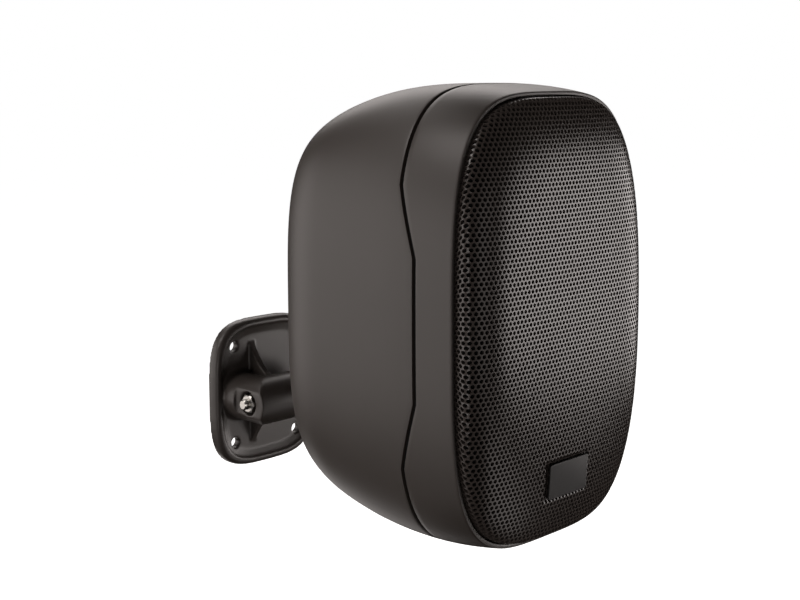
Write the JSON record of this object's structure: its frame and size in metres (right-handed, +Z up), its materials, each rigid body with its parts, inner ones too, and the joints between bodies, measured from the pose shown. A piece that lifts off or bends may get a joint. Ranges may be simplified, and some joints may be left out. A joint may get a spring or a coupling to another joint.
{
  "type": "wall speaker",
  "caption": "Moulded wall speaker with a bulged perforated metal grille, on a cast wall plate with a tilt hinge and a pan swivel.",
  "frame": {"origin": "centre of the wall plate's back face, which lies on the wall", "axes": "+Z up, +Y into the wall, the speaker's front looks along -Y"},
  "size_m": [0.141, 0.2304, 0.2235],
  "materials": {
    "cabinet_abs": "fine moulded grain, warm dark grey",
    "grille_steel": "powder coated perforated steel",
    "bracket_cast": "powder coated casting",
    "badge_plastic": "bare satin plate",
    "seal_rubber": "black seal",
    "surround_rubber": "butyl half roll",
    "scrim_cloth": "thin acoustic cloth",
    "zinc_steel": "zinc plated steel",
    "black_screws": "blacked steel",
    "black_plastic": "moulded plastic",
    "nylon": "natural nylon",
    "basket_steel": "black enamelled pressed steel",
    "cone_paper": "pressed coated pulp",
    "spider_cloth": "varnished corrugated cotton",
    "dome_silk": "coated silk",
    "copper": "enamelled copper wire",
    "ferrite": "sintered ferrite",
    "circuit_board": "glass epoxy board",
    "capacitor_film": "wrapped film",
    "resistor_ceramic": "cement body",
    "red_plastic": "moulded lever",
    "contact_brass": "tinned brass",
    "wadding": "polyester wadding",
    "lead_red": "soft insulation",
    "lead_blue": "soft insulation"
  },
  "bodies": {
    "bracket": {"wall_plate": "bracket_cast", "tilt_bolt": "zinc_steel", "tilt_nut": "zinc_steel", "tilt_washer": "black_plastic"},
    "arm": {"swivel_arm": "bracket_cast", "pan_bushes": "nylon"},
    "cabinet": {"rear_cabinet": "cabinet_abs", "front_baffle": "cabinet_abs", "seam_gasket": "seal_rubber", "grille": "grille_steel", "grille_scrim": "scrim_cloth", "badge_plate": "badge_plastic", "pan_bolt": "zinc_steel", "pan_nut": "zinc_steel", "swivel_base": "bracket_cast", "swivel_base_screws": "black_screws", "woofer_basket": "basket_steel", "woofer_gasket": "seal_rubber", "woofer_surround": "surround_rubber", "spider": "spider_cloth", "front_pole_plate": "zinc_steel", "woofer_magnet": "ferrite", "pole_piece": "zinc_steel", "woofer_screws": "black_screws", "tweeter_faceplate": "black_plastic", "tweeter_dome": "dome_silk", "tweeter_magnet": "ferrite", "tweeter_screws": "black_screws", "crossover_board": "circuit_board", "crossover_coil": "copper", "crossover_capacitor": "capacitor_film", "crossover_resistor": "resistor_ceramic", "board_screws": "zinc_steel", "terminal_plate": "black_plastic", "terminal_contacts": "contact_brass", "terminal_screws": "black_screws", "cabinet_screws": "black_screws", "damping_pad": "wadding", "woofer_leads": "lead_red", "tweeter_leads": "lead_blue", "woofer_tags": "circuit_board"},
    "cone": {"woofer_cone": "cone_paper", "dust_cap": "cone_paper", "voice_coil": "copper"},
    "red_lever": {"lever_red": "red_plastic"},
    "black_lever": {"lever_black": "black_plastic"}
  },
  "joints": [
    {"name": "tilt", "type": "hinge", "parent": "bracket", "child": "arm", "pos_m": [0, -0.027, 0], "axis": [1, 0, 0], "range_deg": [-15, 30]},
    {"name": "pan", "type": "hinge", "parent": "arm", "child": "cabinet", "pos_m": [0, -0.066, 0.024], "axis": [0, 0, 1], "range_deg": [-45, 45]},
    {"name": "cone_travel", "type": "slide", "parent": "cabinet", "child": "cone", "axis": [0, 1, 0], "range_m": [-0.003, 0.003], "stiffness_N_per_m": 1200, "deforming": ["woofer_surround", "spider"]},
    {"name": "press_red", "type": "hinge", "parent": "cabinet", "child": "red_lever", "pos_m": [-0.012, -0.09554, 0.114], "axis": [-1, 0, 0], "range_deg": [0, 15], "stiffness_Nm_per_rad": 0.02, "springref_deg": -11.46},
    {"name": "press_black", "type": "hinge", "parent": "cabinet", "child": "black_lever", "pos_m": [0.012, -0.09554, 0.114], "axis": [-1, 0, 0], "range_deg": [0, 15], "stiffness_Nm_per_rad": 0.02, "springref_deg": -11.46}
  ]
}
